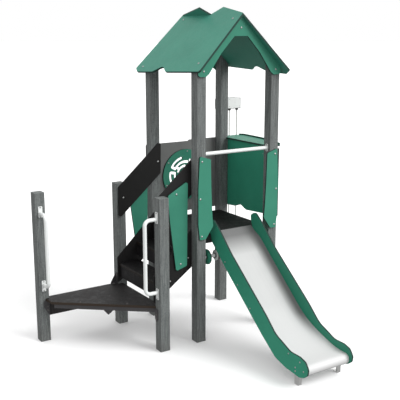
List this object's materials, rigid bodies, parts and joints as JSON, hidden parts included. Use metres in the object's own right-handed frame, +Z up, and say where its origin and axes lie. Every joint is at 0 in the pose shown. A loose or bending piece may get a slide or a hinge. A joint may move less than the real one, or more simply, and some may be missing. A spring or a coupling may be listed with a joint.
{
  "type": "play tower",
  "caption": "Playground tower with pitched roof, slide, steps from a low corner podium, counter, maze panel, rope hoist and spinning discs.",
  "frame": {"origin": "centre of the foot of the front left tower post, on the ground", "axes": "+Z up, +X to the tower's right seen from the slide's exit, -Y towards the slide's exit"},
  "size_m": [2.324, 2.2801, 3.0135],
  "materials": {
    "post_grey": "matt, streaked",
    "roof_green": "fine satin",
    "panel_green": "fine satin",
    "panel_black": "matt",
    "panel_grey": "matt",
    "trim_dark": "matt",
    "disc_grey": "satin",
    "board_dark": "anti-slip, matt",
    "steel_dark": "powder coated",
    "tube_white": "powder coated",
    "stainless": "brushed",
    "cheek_grey": "powder coated",
    "wheel_plastic": "matt",
    "rope_fibre": "braided",
    "ball_plastic": "gloss",
    "bolt_steel": "satin"
  },
  "bodies": {
    "tower": {"bar_bolts": "bolt_steel", "counter_brackets": "steel_dark", "counter_lip": "panel_green", "counter_panel": "panel_green", "counter_shelf": "panel_green", "deck_board": "board_dark", "deck_clips": "steel_dark", "deck_frame": "steel_dark", "flank_panel_left": "panel_green", "flank_panel_right": "panel_green", "frame_bolts": "bolt_steel", "gable_boards": "panel_green", "game_panel": "panel_grey", "grab_handle_front": "tube_white", "grab_handle_left": "tube_white", "guard_bar": "tube_white", "handrail_panel_left": "panel_black", "handrail_panel_right": "panel_black", "hoist_axle": "stainless", "hoist_cheek_inner": "cheek_grey", "hoist_cheek_outer": "cheek_grey", "hoist_rope": "rope_fibre", "hoist_spacers": "stainless", "maze_disc": "panel_green", "panel_bolts": "bolt_steel", "podium_board": "board_dark", "podium_brackets": "steel_dark", "podium_front_beam": "steel_dark", "podium_post_front": "post_grey", "podium_post_inner": "post_grey", "podium_post_left": "post_grey", "podium_rear_skirt": "board_dark", "podium_side_beam": "steel_dark", "ridge_brackets": "steel_dark", "risers": "board_dark", "roof_bolts": "bolt_steel", "roof_panel_left": "roof_green", "roof_panel_right": "roof_green", "rope_balls": "ball_plastic", "rope_guide": "wheel_plastic", "slide_bed": "stainless", "slide_bolts": "bolt_steel", "slide_feet": "stainless", "slide_side_left": "panel_green", "slide_side_right": "panel_green", "spinner_collars": "trim_dark", "spinner_tube": "stainless", "step_bolts": "bolt_steel", "step_panel_left": "panel_green", "step_panel_right": "panel_green", "stringer_left": "panel_black", "stringer_right": "panel_black", "tower_post_front_left": "post_grey", "tower_post_front_right": "post_grey", "tower_post_rear_left": "post_grey", "tower_post_rear_right": "post_grey", "treads": "board_dark"},
    "pulley": {"pulley_wheel": "wheel_plastic"},
    "green_disc": {"spinner_disc_green": "panel_green"},
    "grey_disc": {"spinner_disc_grey": "disc_grey"}
  },
  "joints": [
    {"name": "pulley_spin", "type": "hinge", "parent": "tower", "child": "pulley", "pos_m": [1.004, 0.885, 2.085], "axis": [0, 1, 0], "continuous": true},
    {"name": "green_disc_spin", "type": "hinge", "parent": "tower", "child": "green_disc", "pos_m": [0.09, 0, 0.792], "axis": [1, 0, 0], "continuous": true},
    {"name": "grey_disc_spin", "type": "hinge", "parent": "tower", "child": "grey_disc", "pos_m": [0.19, 0, 0.792], "axis": [1, 0, 0], "continuous": true}
  ]
}
